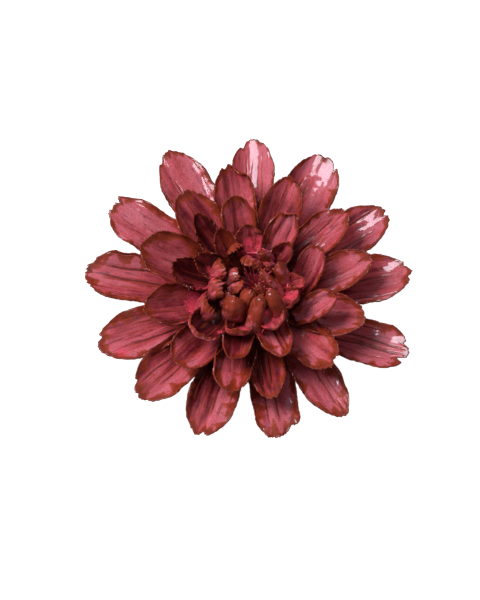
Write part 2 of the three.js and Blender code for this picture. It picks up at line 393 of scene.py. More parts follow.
WEBS = (
    Web(((2.3, 11.2), (2.1, 13.2), (2.4, 15.6)), (1.1, 0.2)),
    Web(((2.4, 11.2), (-0.8, 11.6), (-3.2, 11.2), (-4.6, 10.6)), (1.2, 0.3)),
    Web(((2.4, 11.2), (4.4, 9.4), (7, 7), (9.2, 4.4)), (1.1, 0.3)),
    Web(((-14, -1.2), (-12.2, 0.6), (-10.6, -0.6))),
    Web(((-13.6, -1), (-15.4, 1.4), (-16.6, 4)), (0.7, 0.2)),
    Web(((-13.8, -1.4), (-17.4, -2.8), (-22, -3.8)), (0.8, 0.25)),
    Web(((-21.6, -11.4), (-24.4, -9.4), (-29, -9.6)), (0.9, 0.25)),
    Web(((-21.4, -11.6), (-20.4, -8.6), (-17.8, -6.4)), (0.9, 0.3)),
    Web(((-21.6, -11.8), (-23.4, -14.6), (-26.6, -16.4)), (0.8, 0.2)),
    Web(((-12.8, -20.6), (-10.2, -20.8), (-8.4, -21)), (0.25, 0.15)),
    Web(((5.2, 2.2), (7.4, 0.8), (9.8, -2.6), (11.2, -5.2)), (0.7, 0.35)),
    Web(((12.6, -6.6), (14.2, -7.4), (16.6, -7), (18.8, -4.6)), (0.9, 0.5)),
    Web(((12.8, -6.4), (13.4, -3.6), (13.2, -0.6), (14.2, 1.8)), (0.8, 0.4)),
    Web(((14.2, 1.8), (15.4, 4.2), (16.8, 6.4)), (0.9, 0.3)),
    Web(((-8.6, -9), (-7.2, -7.8), (-5.6, -7.4)), (0.35, 0.2)),
    Web(((-7.6, -20), (-4.8, -18.6), (-2, -19.2)), (0.6, 0.3)),
    Web(((2.6, -21), (5.2, -19.6), (7.6, -16.6), (8.4, -13.6)), (0.7, 0.3)),
    Web(((14.5, -24.7), (18.3, -21.9), (21.4, -19.9), (24.1, -17.9)), (0.25, 0.3)),
    Web(((21.4, -19.9), (25, -20.2), (27.9, -21.9)), (0.3, 0.2)),
)


def near_webs(plan: Array) -> Array:
    """How close places in plan are to a web: a hump of the distance to its nearest stretch, in its widths.

    Args:
        plan: the places, each an x and a y.

    Returns:
        Numbers from 0 to 1.
    """
    nearest = np.full(plan.shape[:-1], np.inf)
    for web in WEBS:
        for start, end in zip(np.array(web.path), np.array(web.path[1:])):
            step, off = end - start, plan - start
            along = np.clip(off @ step / (step @ step), 0.0, 1.0)
            away = np.linalg.norm(off - along[..., None] * step, axis=-1)
            nearest = np.minimum(nearest, away / (WEB_MARGIN + web.wide[0]))
    return hump(0.0, WEB_HALO, nearest)


class PetalShell:
    """A petal's closed clay shell: one sheet, thickened both ways and rounded off to nothing at its rim."""

    def __init__(self, petal: Petal, phase: float, grid: tuple[int, int], seed: int) -> None:
        """Lays out the grid and draws the outline, the swells of both edges, their turn and their rust.

        Args:
            petal: what the petal is like.
            phase: where its gentle wave begins, from 0 to 1.
            grid: how many lines lie across it, an odd number, and how many along it.
            seed: seed for its small accidents.
        """
        self.petal, self.phase = petal, phase
        self.rng = np.random.default_rng(seed)
        even = np.linspace(-1.0, 1.0, grid[0])
        self.u = blend((even, np.sin(np.pi / 2 * even)), EDGE_CROWDING)[None, :]
        self.v = (1.0 - (1.0 - np.linspace(0.0, 1.0, grid[1])) ** TIP_CROWDING)[:, None]
        self.spread = self.u * petal.width / 2
        self.length = np.linalg.norm(np.diff(petal.rib(np.linspace(0.0, 1.0, 65))[0], axis=0), axis=1).sum()
        end, self.torn_tip = self.tips()
        self.to_tip = (1.0 - self.v) * end * self.length
        self.share = self.v * end
        self.way = self.share * self.length
        self.half, self.torn_side = self.half_widths()
        self.swells = [Ripple(self.rng, 7, 15, 5) for edge in Edge]
        self.curved = self.rng.uniform(*petal.incurve, 2)
        self.wide = petal.rust * self.rng.uniform(*RUST_DRAW, 2)

    def ripple(self, place: Array, shortest: float, longest: float, count: int = 7) -> Array:
        """A chance line of the petal's own, read at some places."""
        return Ripple(self.rng, shortest, longest, count)(place)

    def tips(self) -> tuple[Array, Array]:
        """Where the petal ends at each u, as a share of its length.

        One, less a share of 1 - sqrt(1 - u^2) for the round tip, less each notch, a V that is deepest at its
        place, less the lobes of the torn edge. The small teeth are kept apart.

        Returns:
            One row of shares, and one row of the millimetres that the teeth take off.
        """
        petal, u = self.petal, self.u
        torn = 1.1 * petal.ragged * self.ripple(self.spread, 4, 9)
        for place, depth, *width in petal.notches:
            half = width[0] if width else NOTCH_HALF
            torn = torn + depth * np.maximum(0.0, 1.0 - np.abs(u - place) / half) ** 1.2
        teeth = (petal.ragged + 0.6 * petal.sawn) * self.ripple(self.spread, 0.9, 2.6)
        keep = 1.0 - u**8
        end = 1.0 - petal.blunt * (1.0 - np.sqrt(np.maximum(0.0, 1.0 - u * u)))
        return end - torn * keep / self.length, teeth * keep

    def half_widths(self) -> tuple[Array, Array]:
        """Half the width: a quarter sine out from the claw to the widest place, then slightly in, and torn.

        Returns:
            Half widths over the grid, and what the teeth add to them.
        """
        petal, share = self.petal, self.share
        out = np.sin(np.pi / 2 * np.minimum(share / petal.widest, 1.0))
        past = np.maximum(0.0, (share - petal.widest) / (1.0 - petal.widest))
        half = petal.width / 2 * blend((petal.claw, 1.0), out) * (1.0 - TIP_TAPER * past**2)
        teeth = np.zeros_like(half)
        for edge in Edge:
            near = np.maximum(0.0, edge.value * self.u) ** 2
            half = half + 0.8 * petal.ragged * self.ripple(self.way, 8, 18) * near
            rough = petal.sawn * self.ripple(self.way, 1.4, 3.4)
            rough = rough + 0.25 * petal.ragged * self.ripple(self.way, 3, 7)
            teeth = teeth + rough * near**3 * smooth(0.15, 0.5, share)
        return half, teeth

    def summed(self, values: Array) -> Array:
        """Adds a quantity up across the grid by the trapezium rule, from nought at the midrib.

        Args:
            values: the quantity over the grid.

        Returns:
            Its running sum.
        """
        steps = 0.5 * (values[:, 1:] + values[:, :-1]) * np.diff(self.u, axis=1)
        sums = np.pad(np.cumsum(steps, axis=1), ((0, 0), (1, 0)))
        return sums - sums[:, [values.shape[1] // 2]]

    def sheet(self) -> Array:
        """The upper face of the CAD petal, with its folds, incurved edges, flutter and curls.

        Across, the sheet is drawn by its slope: the cup's angle times u, plus each fold's eased step. Its
        cosine and sine are summed from the midrib outwards. Lengthwise it follows the midrib, and within a
        curl's length of the tip it is wound on a circle. Last, it is turned to its heading.

        Returns:
            Points over the grid.
        """
        petal, u, share = self.petal, self.u, self.share
        slope = np.radians(blend(petal.cups, share)) * u
        for edge, angle in zip(Edge, self.curved):
            turned = smooth(0.55, 1.05, edge.value * u) * smooth(0.25, 0.6, share)
            slope = slope + edge.value * np.radians(angle) * turned
        for turned, _, angle in petal.bends(u, share):
            slope = slope + np.radians(angle) * turned
        side, lift = self.half * self.summed(np.cos(slope)), self.half * self.summed(np.sin(slope))
        lift = lift + WAVE * petal.width / WAVE_WIDTH * share**2 * np.sin(2.6 * u + 2 * np.pi * self.phase)
        for edge, swell in zip(Edge, self.swells):
            near = np.maximum(0.0, edge.value * u) ** 2.5
            lift = lift + petal.flutter * swell(self.way) * smooth(0.2, 0.6, share) * near
        side, lift = rotated(side, lift, np.radians(petal.roll))
        on = np.zeros_like(lift)
        for place, half, length, angle in petal.curls:
            reach = length * smooth(0.0, 1.0, 1.0 - np.abs(u - place) / half) + 1e-6
            left = np.maximum(0.0, reach - self.to_tip)
            radius = reach / abs(np.radians(angle))
            on = on - left + radius * np.sin(left / radius)
            lift = lift + np.sign(angle) * radius * (1.0 - np.cos(left / radius))
        at, along = petal.rib(share)
        on, up = rotated(on, lift, np.arctan2(along[..., 1], along[..., 0]))
        east, north = rotated(at[..., 0] + on, side + petal.shift, np.radians(petal.heading))
        return np.stack([petal.middle[0] + east, petal.middle[1] + north, at[..., 1] + up], -1)

    def chance_creases(self) -> Marks:
        """The small creases that every petal has, spread across it with a seeded jitter.

        Returns:
            Creases in the same form as a petal's own.
        """
        count, draw = self.petal.lines, self.rng.uniform
        places = np.linspace(-CREASE_SPREAD, CREASE_SPREAD, count)
        places = places + draw(-CREASE_JITTER, CREASE_JITTER, count)
        limits = (CREASE_FIRSTS, CREASE_LASTS, CREASE_DEPTHS, CREASE_LEANS)
        firsts, lasts, depths, leans = (draw(*pair, count) for pair in limits)
        return tuple(zip(places * leans, places, firsts, lasts, depths))

    def relief(self) -> tuple[Array, Array, Array]:
        """Ribs of the whole sheet, and the creases scored into its upper face.

        The ribs are a chance line across the petal that drifts along it, plus finger marks along it. A crease
        is a hump turned inwards about a wandering line, with a lower hump outwards beside it.

        Returns:
            The ribs' height, the creases' height, and how far each point lies in a crease, from 0 to 1.
        """
        petal, u, share = self.petal, self.u, self.share
        drift = u + 0.06 * self.ripple(self.way, 14, 30, 4)
        ribs = petal.ribs * self.ripple(drift, 0.5, 1.6)
        ribs = ribs + 0.5 * petal.ribs * self.ripple(self.way + 3.0 * u, 14, 30, 4)
        ribs = ribs + petal.lumps * Lumps(self.rng, 2.2, 7.0)(u * self.half, self.way)
        scored, groove = np.zeros_like(share), np.zeros_like(share)
        for root, tip, first, last, depth in petal.creases + self.chance_creases():
            line = blend((root, tip), share) + CREASE_WANDER * self.ripple(self.way, 12, 34, 4)
            off = (u - line) * self.half
            window = smooth(first, first + 0.14, share) * (1.0 - smooth(last - 0.1, last + 0.02, share))
            wide = 0.22 + 0.45 * depth
            raised = 0.4 * hump(1.7 * wide, 1.2 * wide, off)
            scored = scored - depth * window * (hump(0.0, wide, off) - raised)
            groove = np.maximum(groove, window * hump(0.0, 1.3 * wide, off) * min(1.0, depth / 0.16))
        return ribs * smooth(0.05, 0.4, share), scored, groove

    def margin(self) -> tuple[Array, Array]:
        """How far each point lies from the rim, and from the rim counted in widths of its rust band.

        Returns:
            Millimetres to the nearest part of the rim, and the same as a share of the band there.
        """
        bands = []
        for edge, wide in zip(Edge, self.wide):
            wander = np.maximum(0.3, 1.0 + 0.45 * self.ripple(self.way, 3, 12, 5))
            bands.append((1.0 - edge.value * self.u) * self.half / (wide * wander))
        wander = np.maximum(0.25, 1.0 + 0.5 * self.ripple(self.spread, 2, 9, 5))
        bands.append(self.to_tip / (1.1 * self.wide.mean() * wander))
        side = (1.0 - np.abs(self.u)) * self.half
        return np.minimum.reduce([side, self.to_tip, self.way]), np.minimum.reduce(bands)

    def skin(self, offset: float) -> Skin:
        """The closed shell: mid sheet plus and minus half the clay, which ends in an ellipse at the rim.

        Args:
            offset: where the petal's plan begins, so that no two petals share their streaks.

        Returns:
            The shell, with upper and lower faces that share the points of the rim.
        """
        plain = self.sheet()
        ribs, scored, groove = self.relief()
        edge, band = self.margin()
        beaded = 0.07 * self.ripple(self.way + 2.2 * self.u, 1.6, 5.0)
        clay = blend((CLAY_RIM + beaded, CLAY_MIDDLE), smooth(0.0, 2.5, edge))
        half = 0.5 * clay * np.sqrt(1.0 - (1.0 - np.minimum(edge / RIM_ROUND, 1.0)) ** 2)
        middle = plain + normals(plain) * (ribs - 0.5 * clay)[..., None]
        out, along = normals(middle), unit(np.gradient(plain, axis=0))
        middle = middle - along * (self.v * self.torn_tip)[..., None]
        middle = middle - np.cross(along, out) * (self.u * self.torn_side)[..., None]
        scored = scored * smooth(0.1, 1.4, edge)
        upper = middle + out * (half + scored)[..., None]
        lower = middle - out * (half + 0.3 * scored)[..., None]
        inner = np.zeros(half.shape, bool)
        inner[1:-1, 1:-1] = True
        above = np.arange(half.size).reshape(half.shape)
        below = above.copy()
        below[inner] = half.size + np.arange(inner.sum())
        plan = np.stack([self.u * self.half + offset, self.way], -1)
        face, back = self.coats(upper, ribs, groove, band)
        faces = [quads(above), quads(below)[:, [0, 3, 2, 1]]]
        pairs = ((upper, lower), (face, back), (plan, plan))
        points, lay, plan = (np.concatenate([a.reshape(-1, a.shape[-1]), b[inner]]) for a, b in pairs)
        return Skin(points, faces, lay, plan)

    def coats(self, upper: Array, ribs: Array, groove: Array, band: Array) -> tuple[Array, Array]:
        """How the glaze lies on the upper and the lower face.

        It is thin on the rim's band, on the ridge of a fold turned down and on the crests of ribs. It is
        pooled near the core, near the webs and in the petal's blushes. Its tone holds painted shade at the
        root and over the inner face, painted light at the tip, and painted light and shade from side to side.

        Args:
            upper: the upper face's points.
            ribs: the ribs' height.
            groove: how far each point lies in a crease.
            band: distance from the rim in band widths.

        Returns:
            The lay over the grid for the upper face and for the lower one.
        """
        petal, u, share = self.petal, self.u, self.share
        thin = 1.0 - smooth(0.25, 1.35, band)
        crest = smooth(0.35, 1.3, ribs / max(petal.ribs, 0.01)) * smooth(0.2, 0.5, share)
        for _, ridge, angle in petal.bends(u, share):
            thin = np.maximum(thin, (angle < 0) * ridge)
        plan, high = upper[..., :2], upper[..., 2]
        radius = np.linalg.norm(plan, axis=-1)
        above = high - np.interp(radius, *np.array(CORE_OUTLINE[:1:-1]).T)
        pool = 0.55 * np.exp(-np.maximum(above, 0.0) / 2.0) * (radius < CORE_SHADE)
        pool = np.maximum(pool, 0.7 * near_webs(plan) * (high > WEB_FLOOR))
        for place, along, size, strength in petal.blushes:
            away = np.hypot((u - place) * self.half, (share - along) * self.length)
            pool = np.maximum(pool, strength * hump(0.0, size, away))
        # Painted shade and light: lean lightens one side and darkens the other, depth paints shade at the
        # root
        tone = petal.tone + petal.lean * u - petal.depth * (1.0 - smooth(0.1, 0.62, share))
        tone = tone + 0.16 * self.ripple(u, 0.5, 1.6) + 0.1 * self.ripple(self.way, 14, 40, 4)
        # Painted light: the tips are made paler
        tone = tone + 0.16 * smooth(0.6, 0.95, share)
        # Painted shade: the inner shade darkens the whole upper face
        face = np.stack([np.maximum(thin, 0.4 * crest), pool, groove, tone - petal.inside], -1)
        worn = petal.back * smooth(0.25, 0.7, share) + 0.6 * thin
        return face, np.stack([worn, 0.5 * pool, 0.3 * groove, tone - 0.1], -1)


class Part:
    """A part of the bloom that goes in as one piece."""

    name: str

    def skins(self) -> list[Skin]:
        """The closed skins that the part is made of."""
        raise NotImplementedError

    def build(self, material: Material) -> Object:
        """Puts the part in, with its finish, as one piece."""
        return Skin.joined(self.skins()).piece(self.name, material)


@dataclass
class PetalRow(Part):
    """Petals of one form that stand in one piece: their grid and the seed of their small accidents."""

    name: str
    petals: tuple[Petal, ...]
    first: int
    grid: tuple[int, int]
    seed: int

    def skins(self) -> list[Skin]:
        """The row's petals.

        Returns:
            A closed shell for each.
        """
        skins = []
        for index, petal in enumerate(self.petals, self.first):
            shell = PetalShell(petal, ((index + 1) * GOLDEN) % 1, self.grid, self.seed + index)
            skins.append(shell.skin(PLAN_STEP * (index + 1) + ROW_STEP * self.seed))
        return skins


# The forms of the rows, and then their petals one by one. The numbers without a name are heading, reach and
# width, then height, rises, cups, root and middle as far as they are given. Tone, lean, depth and the inner
# shade are set row by row and petal by petal as painted shade and painted light: darker where a petal lies in
# shade, paler where the lamps leave it in a shadow.
OUTER = Petal()
SECOND = Petal(height=22, rises=(14, 32), cups=(62, 36), root=(9, 9), claw=0.42, widest=0.62, blunt=0.34,
    tone=0.5, depth=0.65)
THIRD = Petal(height=28, rises=(34, 52), cups=(60, 46), root=(6, 13), claw=0.5, widest=0.6, blunt=0.36,
    flutter=0.5, lines=4, lumps=0.03, rust=(0.9, 0.9), tone=0.35)
INNER = Petal(height=30, rises=(52, 70), cups=(60, 55), root=(6, 16), claw=0.6, widest=0.6, blunt=0.4,
    lines=3, lumps=0.05, rust=(0.8, 0.8), tone=0.46, back=0.5)
HOOD = Petal(height=31, rises=(80, 180), cups=(55, 70), claw=0.7, widest=0.5, blunt=0.16, incurve=(-20, 15),
    flutter=0.4, ribs=0.14, lumps=0.09, ragged=0.28, sawn=0.12, rust=(1, 1), tone=0.9, depth=0.9, inside=0.9,
    back=0.55)

OUTER_PETALS = (
    OUTER.at(89, 62.5, 17.8, cups=(62, 22), blunt=0.25, roll=-3, shift=0.4, incurve=(-8, 0),
        notches=((0.5, 1.4),), creases=((-0.3, -0.42, 0.3, 0.95, 0.07),), ribs=0.1, rust=(0.6, 0.9), tone=0.7,
        lean=-0.45, depth=1),
    OUTER.at(60, 62.5, 22.4, 13, (-13, 11), blunt=0.26, roll=-0.6, shift=1.2, incurve=(-4, 6), flutter=0.3,
        notches=((-0.45, 1.8), (0.1, 0.7)), folds=((0.36, 24, 0.2, 1.2),),
        creases=((0.35, 0.4, 0.2, 0.8, 0.2),), lines=3, ribs=0.05, rust=(1.8, 1.4), tone=0.66, lean=-0.3,
        depth=0.7),
    OUTER.at(29, 61.5, 19.6, 13, (-13, 10), (62, 19), roll=-0.7, shift=1.4, incurve=(-4, 10), flutter=0.3,
        notches=((0, 1.4),), folds=((-0.6, 40, 0.1, 0.55),), creases=((0.3, 0.4, 0.2, 0.95, 0.2),), lines=4,
        ribs=0.05, tone=0.64, lean=-0.5, depth=0.8),
    OUTER.at(6, 62, 20, 12, (-17, 11), (62, 14), roll=1.5, incurve=(-4, 10), flutter=0.3,
        notches=((-0.15, 1), (0.4, 0.7)), folds=((-0.6, 45, 0.1, 0.5),), ribs=0.06, tone=0.76, lean=-0.4,
        depth=1),
    OUTER.at(-20, 64.6, 19, 11, (-14, 10), blunt=0.19, shift=-4.2, incurve=(-4, 20), flutter=0.4,
        notches=((0.42, 1.4), (-0.32, 2.6, 0.12)),
        creases=((0.1, 0.2, 0.3, 1, 0.16), (-0.2, -0.1, 0.3, 1, 0.2), (-0.5, -0.5, 0.3, 0.9, 0.12)), lines=3,
        ribs=0.06, rust=(2.4, 1), tone=1.25, lean=-0.2, depth=-0.4),
    OUTER.at(-59, 60.8, 18.8, 12, widest=0.56, blunt=0.42, shift=3.6, incurve=(-8, 6),
        folds=((0.55, -70, 0.2, 1.2), (-0.7, 35, 0.2, 1.2)),
        creases=((0.1, 0.15, 0.1, 0.6, 0.14), (0.3, 0.3, 0.2, 0.9, 0.1)), lines=3, ribs=0.12, rust=(3.2, 2.6),
        tone=1.05, lean=0.2, depth=-1),
    OUTER.at(-81, 59.5, 18.6, 12, widest=0.5, blunt=0.16, shift=1.4, incurve=(-4, 20),
        notches=((0.55, 2.4, 0.5), (-0.6, -0.9, 0.3)),
        creases=((0.05, 0.05, 0.5, 0.9, 0.16), (-0.35, -0.4, 0.3, 0.9, 0.16)), lines=3, ragged=0.18,
        rust=(2.2, 3.2), tone=0.95, lean=0.2, depth=-0.9),
    OUTER.at(-109, 61, 20, 12, notches=((0.1, 0.9),), creases=((0.1, 0.12, 0.3, 0.85, 0.34),),
        rust=(2.4, 1.6), tone=0.6, lean=0.85, depth=0.1),
    OUTER.at(-134, 60.8, 20.4, shift=-0.9, notches=((-0.5, 1.4),),
        creases=((-0.25, -0.3, 0.2, 0.95, 0.16), (0.2, 0.25, 0.3, 0.85, 0.16)), lines=3, rust=(3, 2.6),
        tone=0.6, lean=0.6, depth=0.3),
    OUTER.at(-158, 63.3, 21, 12, shift=-0.1, notches=((-0.35, 1.4),), creases=((0.3, 0.3, 0.25, 0.8, 0.3),),
        rust=(1.4, 2.6), blushes=((0.45, 0.86, 3.4, 0.72), (-0.1, 0.3, 3.5, 0.5)), tone=0.65, lean=0.35,
        depth=0.6),
    OUTER.at(173, 64.8, 21, blunt=0.22, shift=1.4, notches=((-0.5, 0.8),),
        creases=((0, 0, 0.1, 0.9, 0.34), (-0.4, -0.4, 0.2, 0.9, 0.3)), ragged=0.24, rust=(1.8, 3),
        blushes=((-0.2, 0.35, 3.6, 0.6),), tone=0.75, lean=-0.25),
    OUTER.at(149, 64, 19.5, 14, widest=0.56, blunt=0.17, incurve=(-8, 16),
        notches=((-0.6, -1.7, 0.3), (-0.35, 0.8, 0.1)), rust=(1.2, 2.4), tone=0.9, depth=0.9),
    OUTER.at(120, 66.3, 20.4, cups=(34, 4), roll=1.2, shift=0.6, incurve=(0, 14), flutter=0.3,
        notches=((0.45, 1.2),), creases=((0.3, 0.3, 0.2, 0.8, 0.2), (0, 0.1, 0.2, 0.7, 0.14)), ribs=0.12,
        rust=(0.9, 1.8), tone=0.75, lean=-0.4, depth=0.7),
)
SECOND_PETALS = (
    SECOND.at(124, 45, 19.5, shift=2.5, rust=(1.4, 2.6), tone=0.48, lean=-0.1),
    SECOND.at(101, 48.6, 18, notches=((0.2, 1.4),), curls=((-0.4, 0.5, 3.4, 150),),
        blushes=((-0.5, 0.9, 3, 0.7),)),
    SECOND.at(70, 45, 17.5, curls=((-0.1, 0.35, 2.2, 110),), creases=((-0.2, -0.1, 0.4, 0.95, -0.3),)),
    SECOND.at(37, 46, 17, 22, (14, 28), notches=((0.1, 0.9),), lines=7, tone=0.6),
    SECOND.at(20, 46, 16.5, 21, (14, 28), shift=-6.5, tone=0.78, lean=-0.6, depth=1),
    SECOND.at(-14, 44.8, 18.5, 21, (14, 28), shift=-4.6, rust=(2.4, 2.4), tone=0.88, lean=-0.6, depth=1),
    SECOND.at(-48, 44.5, 18, 21, (14, 26), blunt=0.22, flutter=0.9, ragged=0.3, rust=(1.6, 2.4),
        blushes=((0.35, 0.62, 2.6, 0.6),), tone=0.75, lean=-0.3, depth=0.75),
    SECOND.at(-81, 46.5, 15, 20, (14, 24), flutter=0.6, notches=((0.1, 1.2),),
        creases=((0.3, 0.1, 0.4, 0.9, 0.4), (-0.3, -0.3, 0.4, 0.9, 0.3)), tone=0.2),
    SECOND.at(-102, 44, 18.5, cups=(62, 44), blunt=0.22, incurve=(25, 55), rust=(3.8, 2), lean=-0.5),
    SECOND.at(-130, 43.5, 20, cups=(62, 44), blunt=0.22, incurve=(25, 50), ribs=0.16, rust=(1.2, 2.2)),
    SECOND.at(-163, 42.5, 19.5, 23, cups=(62, 44), incurve=(10, 35), blushes=((0, 0.36, 6.5, 1.1),),
        tone=0.25, lean=-0.3),
    SECOND.at(162, 44.5, 22, 24, ragged=0.22, rust=(1.4, 2.8), blushes=((-0.4, 0.3, 4, 0.7),), tone=0.55),
)
THIRD_PETALS = (
    THIRD.at(128, 31.5, 10.5, 30, (34, 66), (60, 62), roll=-18, shift=1.8, ragged=0.3, sawn=0.6, tone=0.1),
    THIRD.at(101, 33, 15.5, shift=0.8, rust=(1.2, 2.2), tone=0.42),
    THIRD.at(63, 29.5, 13.5, shift=-1.6, curls=((0.1, 0.6, 2, 120),), rust=(1.6, 1),
        blushes=((0, 0.5, 3.5, 0.6),), tone=1, depth=0.1),
    THIRD.at(62, 22, 12.5, 26, (36, 44), (60, 46), (3, 11), (15, -7), ribs=0.14, tone=0.7),
    THIRD.at(21, 26, 11, 28.4, (34, 38), (56, 40), (10, 16), shift=-18.6, tone=1.7, depth=-0.4),
    THIRD.at(-69, 32.5, 14.5, 26, cups=(60, 62), creases=((0, 0.15, 0.3, 0.95, 0.4),), rust=(2, 2.8),
        tone=0.75),
    THIRD.at(-100, 33, 15, 26, cups=(60, 72), shift=-1.2, rust=(1.8, 1.4), tone=0.1),
    THIRD.at(-133, 29.8, 17, 28.5, (44, 112), (60, 66), ragged=0.3, sawn=0.3, tone=0.75, depth=0.1,
        inside=0.75, back=0.2),
    THIRD.at(175, 30, 13.5, 31, (34, 76), ragged=0.3, sawn=0.7, rust=(2, 0.9), tone=0.05, depth=0.3),
)
INNER_PETALS = (
    INNER.at(120, 21.5, 10, cups=(60, 64), shift=2.2, ragged=0.3, sawn=0.6, rust=(0.8, 3.4), tone=0.1),
    INNER.at(91, 20, 11.5, 29, cups=(60, 42), blunt=0.3, shift=1.2, curls=((-0.5, 0.5, 2.2, 150),), lines=6,
        blushes=((0, 0.58, 2.6, 1), (0.1, 0.36, 3.4, 1))),
    INNER.at(42, 18.5, 10.6, 29.5, cups=(66, 74), shift=-0.6, flutter=0.6, ragged=0.3, rust=(1.2, 1.2),
        blushes=((-0.6, 0.4, 2.4, 0.9),), tone=0.2),
    INNER.at(164, 22, 12.5, cups=(60, 66), creases=((0, 0.1, 0.3, 0.9, -0.5),), ragged=0.3, sawn=0.6,
        tone=0.05),
    INNER.at(-8, 19.5, 7.5, 29.5, cups=(60, 92), blushes=((-0.6, 0.6, 2.4, 1),)),
    INNER.at(-32, 18.5, 11, 30, (52, 98)),
    INNER.at(-65, 22.5, 12.5, 28.5, (50, 66), roll=12, blushes=((-0.2, 0.45, 2.6, 0.8),)),
    INNER.at(-101, 21.8, 13, 28.5, (46, 126), (60, 72), (8, 13), shift=-1.6, tone=0.45, back=0.4),
)
HOODS = (
    HOOD.at(120, 0.8, 7.4, 30.6, (92, 146), (66, 40), (3.6, 17), (-5.2, 8.1), widest=0.8),
    HOOD.at(65, 1.2, 6.8, 29.8, (80, 168), (54, 22), (5.8, 15), (-3.2, 1.7), blunt=0.12),
    HOOD.at(180, 1.2, 6.4, 29.4, (78, 168), (54, 20), (6, 15), (-3.5, -0.1), blunt=0.12),
    HOOD.at(200, 1.4, 8.2, 30.2, (86, 150), (46, 18), (5.5, 14), (-8.9, 3.5), widest=0.9, blunt=0.12,
        notches=((-0.3, 1.2, 0.3),), lumps=0.14, sawn=0.3),
    HOOD.at(199, 1.4, 8.2, 29.6, (84, 150), (44, 16), (6, 14), (-9.9, -3.5), widest=0.9, blunt=0.12,
        notches=((0.45, 1, 0.3),), lumps=0.14, sawn=0.3),
    HOOD.at(168, 1.2, 6, 28.8, (78, 158), (54, 20), (5.4, 15), (-2.3, -4.7), widest=0.85, blunt=0.12, tone=1,
        back=0.2),
    HOOD.at(205, 0.8, 4.8, 27.5, (80, 160), (54, 26), (4.5, 15), (-6.9, -7), widest=0.8),
    HOOD.at(-98, 0, 9.4, 30.2, (88, 184), (50, 48), (6.6, 14), (-6.6, -9.2), claw=0.9, widest=0.4, blunt=0.14,
        incurve=(10, 40), lumps=0.07, ragged=0.15, sawn=0, tone=0.95, back=0.8),
    HOOD.at(-118, 0, 6.6, 29.4, (82, 172), (56, 48), (7.2, 14), (-0.4, -6.2), widest=0.7, sawn=0, back=0.85),
    HOOD.at(-106, 0, 7, 30.6, (66, 174), (62, 66), (11.6, 12.5), (3.2, -8.5), claw=0.75, blunt=0.3,
        lumps=0.07, ragged=0.16, sawn=0, tone=1.1, back=0.8),
    HOOD.at(-55, 0, 7.8, 31, (80, 176), (66, 68), (9.8, 13), (5.8, -6.9), claw=0.8, blunt=0.24, lumps=0.08,
        ragged=0.16, sawn=0, back=0.9),
    HOOD.at(-56, 0, 5, 28.2, (76, 158), (56, 50), (7, 15), (1.4, -3.8), tone=0.5),
    HOOD.at(-54, 0, 6.4, 29.6, (78, 152), (60, 60), (8.5, 13), (8.9, 4.2), widest=0.7),
    HOOD.at(-35, 0, 5.4, 28.8, (66, 162), (60, 56), (11.6, 13), (2.4, 0.7), claw=0.6),
    HOOD.at(40, 0, 5.4, 29.4, (82, 146), (54, 42), (5, 15), (0, 2.5), widest=0.85),
    HOOD.at(28, 0, 5.4, 28.2, (82, 142), (55, 70), (4.5, 15), (4.4, 3.2), widest=0.8, tone=0.4, back=0.1),
    HOOD.at(10, 0, 5.4, 29.4, (82, 152), (56, 50), (5.4, 15), (2, 8), back=0.4),
    HOOD.at(206, 0, 12, 28.5, (70, 108), (60, 56), (4, 12), (-16.4, -11.2), widest=0.8, ragged=0.3, sawn=0.4,
        tone=0.6, back=0.5),
)

ROWS = (
    PetalRow("outer_petals_right", OUTER_PETALS[:5], 0, (81, 113), 100),
    PetalRow("outer_petals_lower", OUTER_PETALS[5:9], 5, (81, 113), 100),
    PetalRow("outer_petals_left", OUTER_PETALS[9:], 9, (81, 113), 100),
    PetalRow("second_petals_upper", SECOND_PETALS[:6], 0, (75, 99), 200),
    PetalRow("second_petals_lower", SECOND_PETALS[6:], 6, (75, 99), 200),
    PetalRow("third_petals", THIRD_PETALS, 0, (65, 85), 300),
    PetalRow("inner_petals", INNER_PETALS, 0, (61, 77), 400),
    PetalRow("heart_hoods", HOODS, 0, (45, 57), 500),
)


@dataclass
class Core(Part):
    """The domed core that carries the petals, turned by hand, with a flat foot under it."""

    name: str = "core"
    sides: int = 160
    rings: int = 120
    lobes: tuple[int, ...] = (3, 5, 8, 13)
    dents: float = 0.35
    crisp: float = 0.25
    heart_radius: float = 13.0
    # Painted shade: the first tone glazes the core's floor within the heart's radius deep, the second is the
    # rest
    heart_shade_tones: Pair = (-0.5, 0.2)
    seed: int = 11

    def skins(self) -> list[Skin]:
        """The outline turned about the upright axis, its radius dented a little all round above the foot.

        Returns:
            The closed core.
        """
        rng = np.random.default_rng(self.seed)
        outline = np.array(CORE_OUTLINE)
        steps = np.insert(np.cumsum(np.linalg.norm(np.diff(outline, axis=0), axis=1)), 0, 0.0)
        rim = steps[1]
        way = np.linspace(0.04 * rim, steps[-1] - 0.3, self.rings)
        way = np.sort(np.append(way[np.abs(way - rim) > 0.3], [rim - self.crisp, rim, rim + self.crisp]))
        radius, height = (np.interp(way, steps, part)[:, None] for part in outline.T)
        turn = circle(self.sides)
        dent = sum(np.sin(n * turn + 0.2 * height + rng.uniform(0, 6.3)) / n**0.5 for n in self.lobes)
        wide = radius + self.dents * dent * smooth(0.3, 3.0, height) * smooth(2.0, 12.0, radius)
        rings = np.stack([wide * np.cos(turn), wide * np.sin(turn), height + 0.0 * turn], -1)
        skin = Skin.wrapped(rings, np.zeros(3), np.array((0.0, 0.0, outline[-1, 1])), (0.0,) * 4)
        x, y, z = skin.points.T
        # Painted shade: the core's floor within the heart is glazed deep
        skin.lay[:, Lay.TONE.value] = np.where(np.hypot(x, y) < self.heart_radius, *self.heart_shade_tones)
        skin.plan = np.stack([0.4 * np.degrees(np.arctan2(y, x)), z], -1)
        return [skin]


